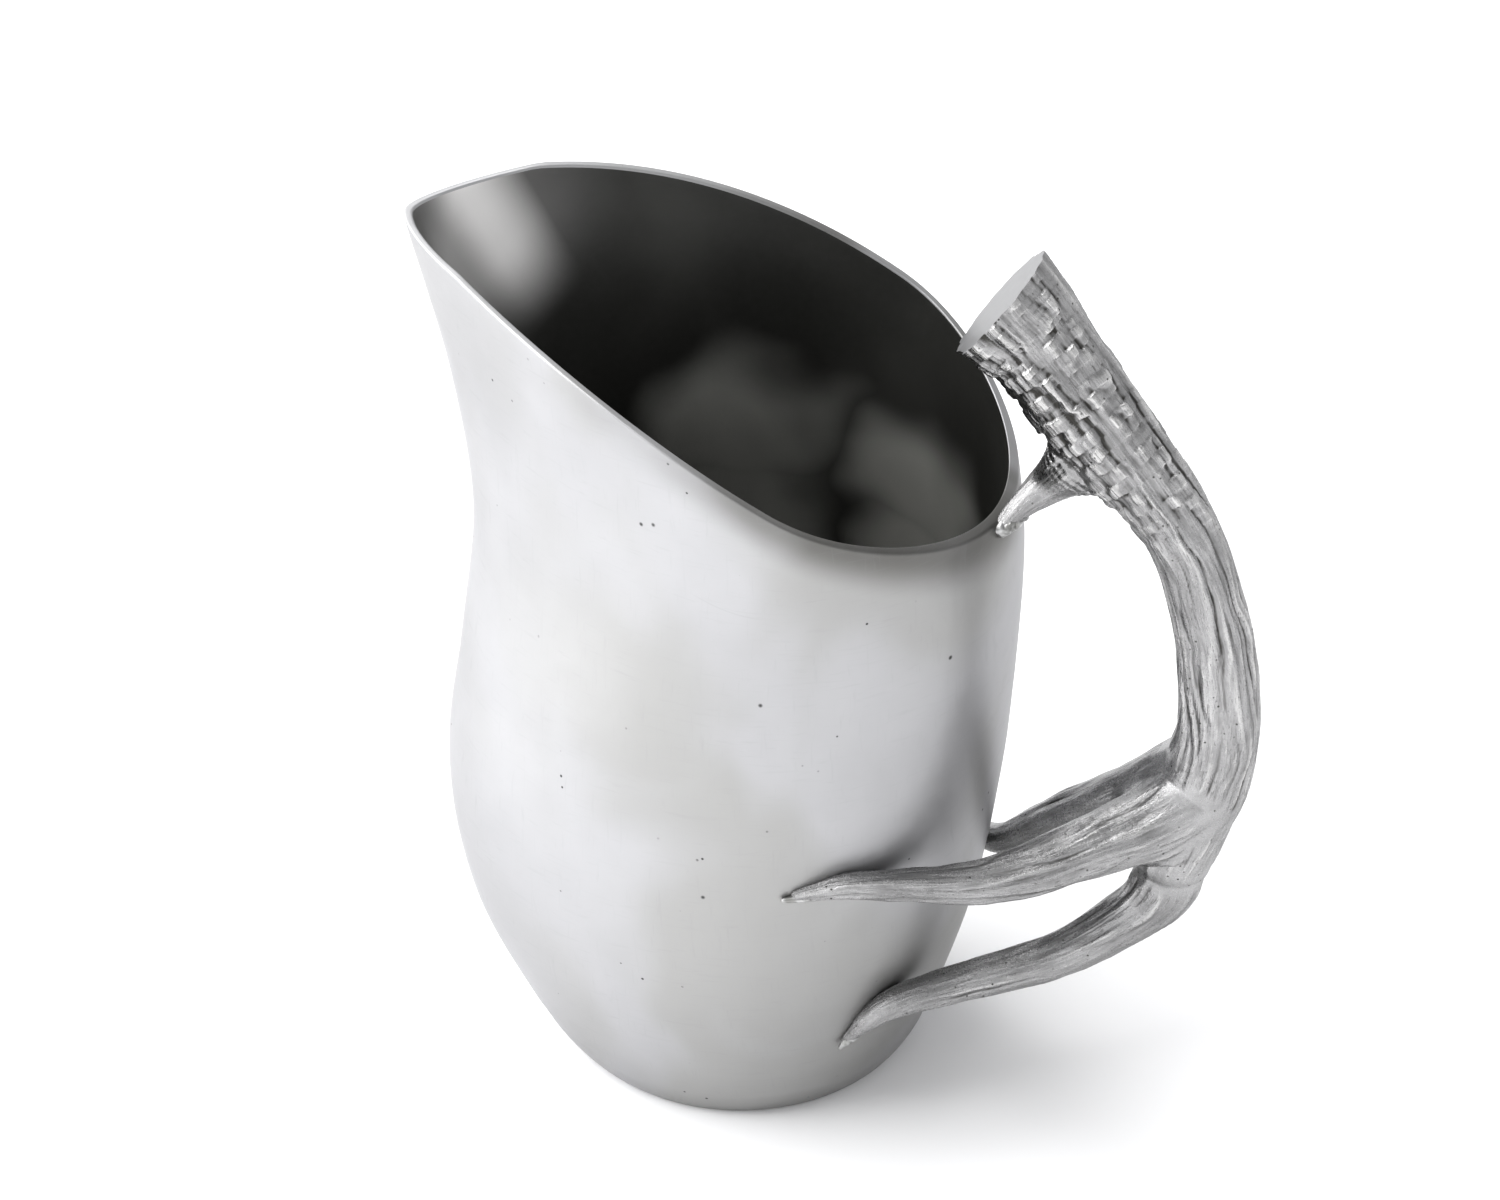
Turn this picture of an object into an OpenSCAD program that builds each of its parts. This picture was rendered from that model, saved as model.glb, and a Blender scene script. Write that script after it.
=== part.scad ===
// Water pitcher of polished cast metal with an antler handle.
// Millimetres, +Z up. The origin is the centre of the flat underside.
// The spout points along -X and the handle along +X. The body is symmetric about the XZ plane.

/* [Body] */
// Thickness of the body wall and of the rim
wall = 2.6; // [2:0.1:4]
// Thickness of the floor
floor_h = 3; // [2:0.5:6]
// Radius of the flat base plate
base_r = 44; // [36:1:45]
// Rounding of the outer bottom edge, measured inwards
foot_in = 3; // [1:0.5:5]
// Rounding of the outer bottom edge, measured upwards
foot_up = 10; // [4:1:16]

/* [Rim] */
// Height of the level stretch of rim at the spout
rim_spout_z = 255.5; // [252:0.5:258]
// Height that the slope of the rim is aimed at
rim_low_z = 137; // [130:1:150]
// Place along X where the rim starts to fall
rim_start_x = -63; // [-75:1:-50]
// Place along X where the slope of the rim would end
rim_end_x = 197; // [185:1:210]
// How far the slope of the rim is eased at its ends
rim_ease = 0.57; // [0:0.01:1]

/* [Antler] */
// Thickness factor of all the branches
branch_k = 1; // [0.9:0.01:1.1]
// Tilt of the sawn end of the burr, from the vertical
burr_tilt = 38; // [30:1:45]
// Gap of the brazed joint where one branch is coped over another
joint_gap = 0.1; // [0.05:0.01:0.2]

/* [Hidden] */

POLISHED = "Gainsboro";
ANTIQUED = "DarkGray";
SOLDERED = "Silver";

HALF = 24;                  // steps along one side of a ring
AROUND = 2 * HALF;          // points in a ring
LEVELS = 26;                // rings from the foot to the rim
KAPPA = 0.5523;             // handle length that makes a cubic follow a quarter ellipse
ROUND = 20;                 // facets around a branch

// Cross-sections of the body: height, reach of the spout side, reach of the handle side,
// half width, roundness of the spout side (KAPPA is an ellipse, less is a pinched keel),
// place along X of the widest point
SECTIONS = [
    [  0, 54.0, 53.0, 51.5, 0.48,  2],
    [ 20, 65.5, 61.0, 58.0, 0.54,  2],
    [ 50, 77.5, 70.0, 66.0, 0.60,  3],
    [ 90, 83.0, 77.0, 71.0, 0.58,  5],
    [130, 78.0, 81.0, 69.5, 0.46, 11],
    [170, 74.0, 82.5, 66.0, 0.30, 19],
    [210, 79.5, 77.5, 68.0, 0.20, 30],
    [250, 88.5, 83.0, 74.0, 0.19, 36]
];

// Branches of the antler: centre line and radius at each knot, from root to tip
BEAM = [
    [66, 0, 260, 18.5], [75.5, 0, 249, 18.5], [84.5, 0, 240.5, 16], [100, 0, 221.5, 14.2],
    [118, 0, 199.5, 11.7], [129.2, 0, 181, 10.3], [137, 0, 154, 11], [139.5, 0, 130, 11.8],
    [136.5, 0, 108, 12.7], [129, -1, 82, 11.3]
];
RIM_TINE = [
    [104, 0, 213, 9], [95, 0, 201.5, 7.5], [89.5, -1, 196, 5.8], [84.2, -5, 191.7, 4],
    [80, -10, 187, 2.7]
];
NEAR_TINE = [
    [133, -3, 103, 11.5], [123.5, -9, 97, 10.8], [111.5, -18, 94, 9.3], [87.5, -36, 90, 7],
    [63, -51.5, 94, 4.6], [50, -59.3, 96.5, 3.6], [37.5, -64.3, 94.5, 1.8]
];
FAR_TINE = [
    [132, 1, 112, 8.5], [117, 5, 98.5, 7.7], [102, 11, 84.5, 7.3], [88.5, 16, 72, 6.6],
    [77, 20, 62, 5.2], [68, 29.5, 54.5, 4.2], [59, 39.5, 51, 3.2], [50, 47.5, 48, 1.9]
];
LOWER_TINE = [
    [128.5, -1, 80, 9.8], [126.5, -1.5, 70, 9.7], [117.5, -4, 59.5, 8.5], [98, -14, 48, 7],
    [73.5, -28.5, 44.5, 5.5], [57, -42, 43, 4.3], [46.4, -45, 32, 1.6]
];

// Runs of solder between a tip and the wall
RIM_RUN = [[84, -6, 189.5, 3.2], [80.5, -9.5, 187.5, 3.6], [78, -13, 187, 2.6]];
NEAR_RUN = [[53, -56.9, 96.2, 3.4], [46, -60.2, 96.2, 3.2], [36, -63.9, 94.2, 2.4]];
FAR_RUN = [[66.5, 28.3, 55, 3.8], [60.5, 36.3, 51.8, 3.6], [49, 47.6, 47.8, 2.6]];
LOWER_RUN = [[56, -39.8, 43, 3.8], [51.8, -42.6, 39.5, 3.3], [45.4, -44.4, 31, 2.5]];

// ---- curves ----

// Slope of column c of a table at row k, with column 0 as the running value
function slope(t, c, k) =
    let (a = max(k - 1, 0), b = min(k + 1, len(t) - 1)) (t[b][c] - t[a][c]) / (t[b][0] - t[a][0]);

// Row of a table whose stretch holds the value z
function row_of(t, z) = max([for (k = [0 : len(t) - 2]) if (k == 0 || z >= t[k][0]) k]);

// Smooth value of column c of a table at z
function smooth(t, c, z) =
    let (k = row_of(t, z), h = t[k + 1][0] - t[k][0], s = (z - t[k][0]) / h)
    t[k][c] * (2 * s * s * s - 3 * s * s + 1) + slope(t, c, k) * h * s * (1 - s) * (1 - s)
    + t[k + 1][c] * s * s * (3 - 2 * s) + slope(t, c, k + 1) * h * s * s * (s - 1);

function cubic(a, b, c, d, s) =
    a * pow(1 - s, 3) + 3 * b * pow(1 - s, 2) * s + 3 * c * (1 - s) * s * s + d * pow(s, 3);

// ---- body ----

// How far the rounded foot draws the skin in at height z
function foot(z) = z >= foot_up ? 0 : foot_in * (1 - sqrt(1 - pow(1 - z / foot_up, 2)));

// Point of a ring at height z, step i of HALF from spout to handle, drawn in by inset
function half_ring(z, i, inset) =
    let (
        d = inset + foot(z),
        f = smooth(SECTIONS, 1, z) - d,
        b = smooth(SECTIONS, 2, z) - d,
        w = smooth(SECTIONS, 3, z) - d,
        k = smooth(SECTIONS, 4, z),
        m = smooth(SECTIONS, 5, z),
        s = 2 * i / HALF
    )
    s <= 1
        ? cubic([-f, 0], [-f, k * w], [m - KAPPA * (m + f), w], [m, w], s)
        : cubic([m, w], [m + KAPPA * (b - m), w], [b, KAPPA * w], [b, 0], s - 1);

function rim_z(x) =
    let (u = min(max((x - rim_start_x) / (rim_end_x - rim_start_x), 0), 1))
    rim_spout_z + (rim_low_z - rim_spout_z) * ((1 - rim_ease) * u + rim_ease * u * u * (3 - 2 * u));

// Height at which step i of the skin meets the rim
function top_z(i, inset, z = 220, n = 16) =
    n == 0 ? z : top_z(i, inset, rim_z(half_ring(z, i, inset)[0]), n - 1);

function mirrored(half) =
    concat(half, [for (i = [HALF - 1 : -1 : 1]) [half[i][0], -half[i][1], half[i][2]]]);

// Rings of one skin, from height z0 up to the rim
function skin(inset, z0) =
    let (tops = [for (i = [0 : HALF]) top_z(i, inset)])
    [for (j = [0 : LEVELS]) mirrored([
        for (i = [0 : HALF])
            let (z = z0 + (tops[i] - z0) * pow(j / LEVELS, 1.3), p = half_ring(z, i, inset))
            [p[0], p[1], z]
    ])];

// Ring around the base plate, whose flats just clear the plate
function seat(z) =
    let (r = base_r / cos(180 / AROUND))
    [for (i = [0 : AROUND - 1]) let (a = 180 - 360 * i / AROUND) [r * cos(a), r * sin(a), z]];

function reversed(v) = [for (i = [len(v) - 1 : -1 : 0]) v[i]];

// A closed solid from rings that follow each other all the way round
module ring_loop(rings) {
    n = len(rings);
    polyhedron(
        points = [for (r = rings) each r],
        faces = [
            for (r = [0 : n - 1], i = [0 : AROUND - 1])
                let (
                    s = (r + 1) % n, j = (i + 1) % AROUND,
                    a = r * AROUND + i, b = r * AROUND + j, c = s * AROUND + j, d = s * AROUND + i
                )
                each [[a, c, d], [a, b, c]]
        ],
        convexity = 6
    );
}

module body_solid() {
    ring_loop(concat([seat(0)], skin(0, 0), reversed(skin(wall, floor_h)), [seat(floor_h)]));
}

// ---- antler ----

// Smooth point between knots k and k + 1
function between(v, k, s) =
    let (
        p = v[k], q = v[k + 1],
        m = (q - v[max(k - 1, 0)]) / 2,
        n = (v[min(k + 2, len(v) - 1)] - p) / 2
    )
    p * (2 * s * s * s - 3 * s * s + 1) + m * s * (1 - s) * (1 - s)
    + q * s * s * (3 - 2 * s) + n * s * s * (s - 1);

function line_of(v, steps) =
    concat([for (k = [0 : len(v) - 2], s = [0 : steps - 1]) between(v, k, s / steps)], [v[len(v) - 1]]);

module bead(p, more) {
    translate([p[0], p[1], p[2]]) sphere(r = p[3] * branch_k + more, $fn = ROUND);
}

// A branch of round section through its knots, thicker by more
module branch(knots, steps = 2, more = 0) {
    line = line_of(knots, steps);
    for (i = [0 : len(line) - 2])
        hull() {
            bead(line[i], more);
            bead(line[i + 1], more);
        }
}

// A run of solder that fills the gap between a branch and the wall
module solder_run(run, knots) {
    color(SOLDERED)
        difference() {
            branch(run, 4);
            branch(knots);
            body_solid();
        }
}

// A tine, coped to fit over the beam and resting against the wall
module tine(knots) {
    color(ANTIQUED)
        difference() {
            branch(knots);
            branch(BEAM, more = joint_gap);
            body_solid();
        }
}

// ---- sub-parts ----

module body_shell() {
    color(POLISHED) body_solid();
}

module base_plate() {
    color(POLISHED) cylinder(r = base_r, h = floor_h, $fn = 96);
}

// The beam, sawn off square at the burr
module antler_beam() {
    saw = 60;
    color(ANTIQUED)
        difference() {
            branch(BEAM);
            translate([BEAM[1][0], 0, BEAM[1][2]])
                rotate([0, burr_tilt, 0])
                    translate([-saw, -saw / 2, -saw / 2])
                        cube(saw);
        }
}

module rim_tine() {
    tine(RIM_TINE);
}

module near_tine() {
    tine(NEAR_TINE);
}

module far_tine() {
    difference() {
        tine(FAR_TINE);
        branch(NEAR_TINE, more = joint_gap);
    }
}

module lower_tine() {
    tine(LOWER_TINE);
}

module rim_solder() {
    solder_run(RIM_RUN, RIM_TINE);
}

module near_solder() {
    solder_run(NEAR_RUN, NEAR_TINE);
}

module far_solder() {
    solder_run(FAR_RUN, FAR_TINE);
}

module lower_solder() {
    solder_run(LOWER_RUN, LOWER_TINE);
}

body_shell();
base_plate();
antler_beam();
rim_tine();
near_tine();
far_tine();
lower_tine();
rim_solder();
near_solder();
far_solder();
lower_solder();
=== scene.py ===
import math

import bmesh
import bpy
import numpy as np
from mathutils import Matrix, Vector


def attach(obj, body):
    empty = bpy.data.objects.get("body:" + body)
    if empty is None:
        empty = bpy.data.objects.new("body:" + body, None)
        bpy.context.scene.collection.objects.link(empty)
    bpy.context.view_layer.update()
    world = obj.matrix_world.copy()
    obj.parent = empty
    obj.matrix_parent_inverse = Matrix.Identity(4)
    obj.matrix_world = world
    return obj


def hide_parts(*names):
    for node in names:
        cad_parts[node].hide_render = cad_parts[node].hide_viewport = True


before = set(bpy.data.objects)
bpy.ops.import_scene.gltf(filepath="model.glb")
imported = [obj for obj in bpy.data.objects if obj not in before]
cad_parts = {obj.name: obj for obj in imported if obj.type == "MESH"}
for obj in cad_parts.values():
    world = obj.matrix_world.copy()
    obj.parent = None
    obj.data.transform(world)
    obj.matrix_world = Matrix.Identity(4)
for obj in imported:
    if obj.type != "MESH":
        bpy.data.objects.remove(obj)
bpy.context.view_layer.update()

# Water pitcher of polished cast metal with an antler handle, in metres.
# Shapes are worked out in millimetres and scaled as each mesh is made.
MM = 0.001


# ---------------------------------------------------------------- small tools

def unit(v):
    return v / np.maximum(np.linalg.norm(v, axis=-1, keepdims=True), 1e-9)


def step(a, b, x):
    """Smooth step from 0 at a to 1 at b."""
    t = np.clip((x - a) / (b - a), 0, 1)
    return t * t * (3 - 2 * t)


class Noise:
    """Smooth gradient noise, about -1 to 1, the same on every run."""

    def __init__(self, seed):
        rng = np.random.RandomState(seed)
        self.perm = rng.permutation(256)
        self.grad = unit(rng.normal(size=(256, 3)))

    def __call__(self, x, y, z):
        p = np.stack(np.broadcast_arrays(x, y, z), -1).astype(float)
        cell = np.floor(p).astype(int)
        f = p - cell
        u = f * f * f * (f * (f * 6 - 15) + 10)
        total = np.zeros(p.shape[:-1])
        for corner in np.ndindex(2, 2, 2):
            c = (cell + corner) & 255
            h = self.perm[(self.perm[(self.perm[c[..., 0]] + c[..., 1]) & 255] + c[..., 2]) & 255]
            w = np.where(corner, u, 1 - u).prod(-1)
            total += w * (self.grad[h] * (f - corner)).sum(-1)
        return total * 1.7


def new_object(name, verts, faces, slots=(), indices=None):
    """Smooth-shaded object from points in millimetres."""
    mesh = bpy.data.meshes.new(name)
    mesh.from_pydata((np.asarray(verts) * MM).tolist(), [], [list(map(int, f)) for f in faces])
    obj = bpy.data.objects.new(name, mesh)
    bpy.context.scene.collection.objects.link(obj)
    for m in slots:
        mesh.materials.append(m)
    if indices is not None:
        mesh.polygons.foreach_set("material_index", np.asarray(indices, dtype=np.int32))
    mesh.polygons.foreach_set("use_smooth", [True] * len(mesh.polygons))
    mesh.update()
    return obj


def grid_faces(rows, cols):
    """Quads between rows of a closed grid, each row a ring of cols points."""
    r, c = np.meshgrid(np.arange(rows - 1), np.arange(cols), indexing="ij")
    d = (c + 1) % cols
    quads = np.stack([r * cols + c, r * cols + d, (r + 1) * cols + d, (r + 1) * cols + c], -1)
    return quads.reshape(-1, 4).tolist()


def attribute(mesh, name, values):
    """Stores a number or a vector for each vertex, for the materials."""
    values = np.asarray(values, dtype=float)
    if values.ndim == 1:
        mesh.attributes.new(name, "FLOAT", "POINT").data.foreach_set("value", values)
    else:
        mesh.attributes.new(name, "FLOAT_VECTOR", "POINT").data.foreach_set("vector", values.ravel())


# ---------------------------------------------------------------- materials

class Shader:
    """A metal material that is put together node by node. Edge tints the metal at a grazing view."""

    def __init__(self, name, metallic=1.0, edge=1.0):
        self.mat = bpy.data.materials.new(name)
        self.mat.use_nodes = True
        self.tree = self.mat.node_tree
        self.bsdf = self.tree.nodes["Principled BSDF"]
        self.bsdf.inputs["Metallic"].default_value = metallic
        self.bsdf.inputs["Specular Tint"].default_value = (edge, edge, edge, 1.0)
        self.place = self.node("ShaderNodeTexCoord").outputs["Object"]

    def node(self, kind, **sockets):
        n = self.tree.nodes.new(kind)
        for key, value in sockets.items():
            self.feed(n.inputs[key.replace("_", " ")], value)
        return n

    def feed(self, socket, value):
        if isinstance(value, bpy.types.NodeSocket):
            self.tree.links.new(value, socket)
        elif isinstance(value, tuple) and socket.type == "RGBA" and len(value) == 3:
            socket.default_value = (*value, 1.0)
        else:
            socket.default_value = value

    def scaled(self, vector, scale, turn=(0, 0, 0)):
        n = self.node("ShaderNodeMapping", Vector=vector, Scale=scale, Rotation=turn)
        return n.outputs["Vector"]

    def noise(self, vector, scale, detail=3.0, rough=0.55, distort=0.0):
        n = self.node("ShaderNodeTexNoise", Vector=vector, Scale=scale, Detail=detail,
                      Roughness=rough, Distortion=distort)
        return n.outputs["Fac"]

    def cells(self, vector, scale):
        return self.node("ShaderNodeTexVoronoi", Vector=vector, Scale=scale).outputs["Distance"]

    def ramp(self, value, *stops, smooth=False):
        """Map range: (in low, in high, out low, out high)."""
        lo, hi, a, b = stops
        n = self.node("ShaderNodeMapRange", Value=value)
        n.interpolation_type = "SMOOTHSTEP" if smooth else "LINEAR"
        for key, v in zip(("From Min", "From Max", "To Min", "To Max"), (lo, hi, a, b)):
            self.feed(n.inputs[key], v)
        return n.outputs["Result"]

    def math(self, kind, a, b=0.0):
        n = self.tree.nodes.new("ShaderNodeMath")
        n.operation = kind
        self.feed(n.inputs[0], a)
        self.feed(n.inputs[1], b)
        return n.outputs[0]

    def mix(self, fac, a, b):
        n = self.tree.nodes.new("ShaderNodeMix")
        n.data_type = "RGBA"
        self.feed(n.inputs["Factor"], fac)
        self.feed(n.inputs[6], a)
        self.feed(n.inputs[7], b)
        return n.outputs[2]

    def attr(self, name, vector=False):
        """A value that was stored on the vertices of the mesh."""
        n = self.tree.nodes.new("ShaderNodeAttribute")
        n.attribute_name = name
        return n.outputs["Vector" if vector else "Fac"]

    def axis(self, index):
        """One coordinate of the place, metres."""
        n = self.node("ShaderNodeSeparateXYZ", Vector=self.place)
        return n.outputs[index]

    def bent(self, vector, scale, amount):
        """The place, pushed about by slow noise."""
        n = self.node("ShaderNodeTexNoise", Vector=vector, Scale=scale, Detail=1.0)
        add = self.tree.nodes.new("ShaderNodeVectorMath")
        add.operation = "MULTIPLY_ADD"
        self.feed(add.inputs[0], n.outputs["Color"])
        self.feed(add.inputs[1], (amount, amount, amount))
        self.feed(add.inputs[2], vector)
        shift = self.tree.nodes.new("ShaderNodeVectorMath")
        shift.operation = "SUBTRACT"
        self.feed(shift.inputs[0], add.outputs[0])
        self.feed(shift.inputs[1], (amount / 2, amount / 2, amount / 2))
        return shift.outputs[0]

    def spots(self, places, radius, at=None):
        """1 inside small spots around points in metres, 0 elsewhere."""
        total = None
        for p in places:
            n = self.tree.nodes.new("ShaderNodeVectorMath")
            n.operation = "DISTANCE"
            self.feed(n.inputs[0], at or self.place)
            self.feed(n.inputs[1], p)
            s = self.ramp(n.outputs["Value"], radius * 0.3, radius, 1.0, 0.0, smooth=True)
            total = s if total is None else self.math("MAXIMUM", total, s)
        return total

    def bump(self, height, distance, strength=1.0, normal=None):
        n = self.node("ShaderNodeBump", Height=height, Strength=strength, Distance=distance)
        if normal is not None:
            self.feed(n.inputs["Normal"], normal)
        return n.outputs["Normal"]

    def finish(self, color, rough, normal=None):
        self.feed(self.bsdf.inputs["Base Color"], color)
        self.feed(self.bsdf.inputs["Roughness"], rough)
        if normal is not None:
            self.feed(self.bsdf.inputs["Normal"], normal)
        return self.mat


# Casting pits on the outside of the body, metres
BODY_PITS = [
    (-0.0046, -0.0620, 0.2052), (-0.0009, -0.0632, 0.2063), (0.0724, -0.0356, 0.1600),
    (0.0283, -0.0657, 0.1563), (0.0126, -0.0708, 0.0935),
]


# The one long scratch, on the near side: a shallow bow with its lowest point here, metres
SCRATCH_LOW_X, SCRATCH_LOW_Z, SCRATCH_BOW = 0.030, 0.1837, 11.0


def long_scratch(s):
    """1 on the scratch, 0 elsewhere."""
    x = s.axis(0)
    bow = s.math("POWER", s.math("SUBTRACT", x, SCRATCH_LOW_X), 2.0)
    off_line = s.math("SUBTRACT", s.math("SUBTRACT", s.axis(2), SCRATCH_LOW_Z),
                      s.math("MULTIPLY", bow, SCRATCH_BOW))
    line = s.ramp(s.math("ABSOLUTE", off_line), 0.00008, 0.0003, 1.0, 0.0)
    ends = s.math("MULTIPLY", s.ramp(x, 0.009, 0.013, 0, 1), s.ramp(x, 0.026, 0.031, 1, 0))
    near_side = s.ramp(s.axis(1), -0.06, -0.055, 1, 0)
    return s.math("MULTIPLY", line, s.math("MULTIPLY", ends, near_side))


def polished_metal():
    """Hand-polished casting: satin with hairlines, one scratch, dull clouds, specks and pits, with painted
    shade on the handle side and under the rim.
    """
    s = Shader("polished_metal", edge=0.66)
    p = s.place
    hair_a = s.noise(s.scaled(p, (90, 90, 1100), (0.5, 0.2, 0.0)), 1.0, 3.0, 0.55, 0.8)
    hair_b = s.noise(s.scaled(p, (1000, 110, 80), (0.1, 0.7, 0.5)), 1.0, 3.0, 0.55, 0.8)
    hairs = s.math("MAXIMUM", s.ramp(hair_a, 0.58, 0.78, 0, 1), s.ramp(hair_b, 0.60, 0.78, 0, 1))
    cloud = s.noise(p, 22.0, 4.0)
    specks = s.math("MULTIPLY", s.ramp(s.cells(p, 170.0), 0.05, 0.085, 1, 0),
                    s.ramp(s.noise(p, 60.0, 1.0), 0.58, 0.66, 0, 1))
    pits = s.math("MAXIMUM", specks, s.spots(BODY_PITS, 0.0009))
    hairs = s.math("MAXIMUM", hairs, long_scratch(s))
    veil = s.noise(s.scaled(p, (17, 17, 12)), 1.0, 2.0, 0.5, 0.5)
    tone = s.mix(s.ramp(cloud, 0.35, 0.7, 0, 1), (0.415, 0.415, 0.425), (0.46, 0.46, 0.47))
    # dull clouds of random tone, cut to a third on the spout side: painted shade that leaves the handle side
    # darker
    dull = s.math("MULTIPLY", s.ramp(veil, 0.40, 0.62, 0, 0.65, smooth=True),
                  s.ramp(s.axis(0), -0.055, -0.005, 0.3, 1.0))
    tone = s.mix(dull, tone, (0.34, 0.338, 0.325))
    # painted shade: a darker strip under the rim, on the half of the body with the handle;
    # below_rim is in centimetres
    # painted shade, not a change of finish
    shade = s.ramp(s.attr("below_rim"), 0.15, 1.55, 0.9, 0.0, smooth=True)
    shade = s.math("MULTIPLY", shade, s.ramp(s.axis(0), -0.035, 0.020, 0.0, 1.0, smooth=True))
    shade = s.math("MULTIPLY", shade, s.ramp(veil, 0.38, 0.58, 0.35, 1.0, smooth=True))
    tone = s.mix(shade, tone, (0.13, 0.128, 0.12))
    tone = s.mix(s.math("MULTIPLY", hairs, 0.16), tone, (0.34, 0.34, 0.345))
    tone = s.mix(pits, tone, (0.10, 0.10, 0.10))
    rough = s.math("ADD", s.ramp(cloud, 0.3, 0.75, 0.42, 0.48), s.math("MULTIPLY", hairs, 0.06))
    rough = s.math("ADD", rough, s.math("MULTIPLY", pits, 0.4))
    normal = s.bump(s.noise(p, 50.0, 2.0), 0.0006, 0.6)
    normal = s.bump(s.noise(p, 1400.0, 2.0), 0.00002, 0.5, normal)
    normal = s.bump(s.math("ADD", hairs, s.math("MULTIPLY", pits, 8.0)), 0.00004, -0.6, normal)
    return s.finish(tone, rough, normal)


def inner_metal():
    """Inside of the body: painted shade, dark all over with soft lighter patches, two spots of painted light
    on the far wall and a band of painted light under the spout.
    """
    s = Shader("inner_metal", metallic=0.45)
    p = s.place
    x, z = s.axis(0), s.axis(2)
    patches = s.noise(s.scaled(p, (16, 16, 9)), 1.0, 2.5, 0.5, 0.4)
    fine = s.noise(p, 420.0, 3.0)
    bent = s.bent(p, 30.0, 0.034)
    # painted light: two soft lighter spots on the far inside wall
    painted_pools = s.math("MAXIMUM", s.spots([(-0.014, 0.058, 0.165), (-0.012, 0.058, 0.135)], 0.036, bent),
                   s.spots([(0.036, 0.062, 0.150), (0.040, 0.060, 0.125)], 0.030, bent))
    # painted shade: the inside is dark all over, a little lighter in soft patches
    light = s.ramp(patches, 0.45, 0.72, 0, 0.35, smooth=True)
    dark = s.mix(light, (0.020, 0.020, 0.018), (0.085, 0.085, 0.078))
    dark = s.mix(s.math("MULTIPLY", fine, 0.2), dark, (0.055, 0.055, 0.052))
    dark = s.mix(s.math("MULTIPLY", painted_pools, s.ramp(patches, 0.3, 0.6, 0.6, 1.0)), dark, (0.46, 0.46, 0.43))
    # painted light: a bright band inside the spout, sharp on the side of the keel, with a long soft tail on
    # the other
    across = s.math("ADD", s.math("ADD", x, s.math("MULTIPLY", z, 0.45)), -0.0354)
    edge = s.math("SUBTRACT", z, s.math("MULTIPLY", x, 1.1))
    tail = s.math("MAXIMUM", s.ramp(across, 0.001, 0.017, 1, 0, smooth=True),
                  s.ramp(across, 0.0, 0.034, 0.20, 0.0))
    painted_spout_light = s.math("MINIMUM", tail, s.ramp(across, -0.008, 0.0, 0.42, 1.0, smooth=True))
    painted_spout_light = s.math("MULTIPLY", painted_spout_light, s.ramp(edge, 0.274, 0.312, 0, 1, smooth=True))
    painted_spout_light = s.math("MULTIPLY", painted_spout_light, s.ramp(x, -0.087, -0.080, 0.35, 1.0, smooth=True))
    tone = s.mix(painted_spout_light, dark, (0.80, 0.79, 0.78))
    rough = s.math("ADD", s.ramp(patches, 0.3, 0.8, 0.32, 0.44), s.math("MULTIPLY", fine, 0.06))
    return s.finish(tone, rough, s.bump(fine, 0.0001, 0.4))


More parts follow.
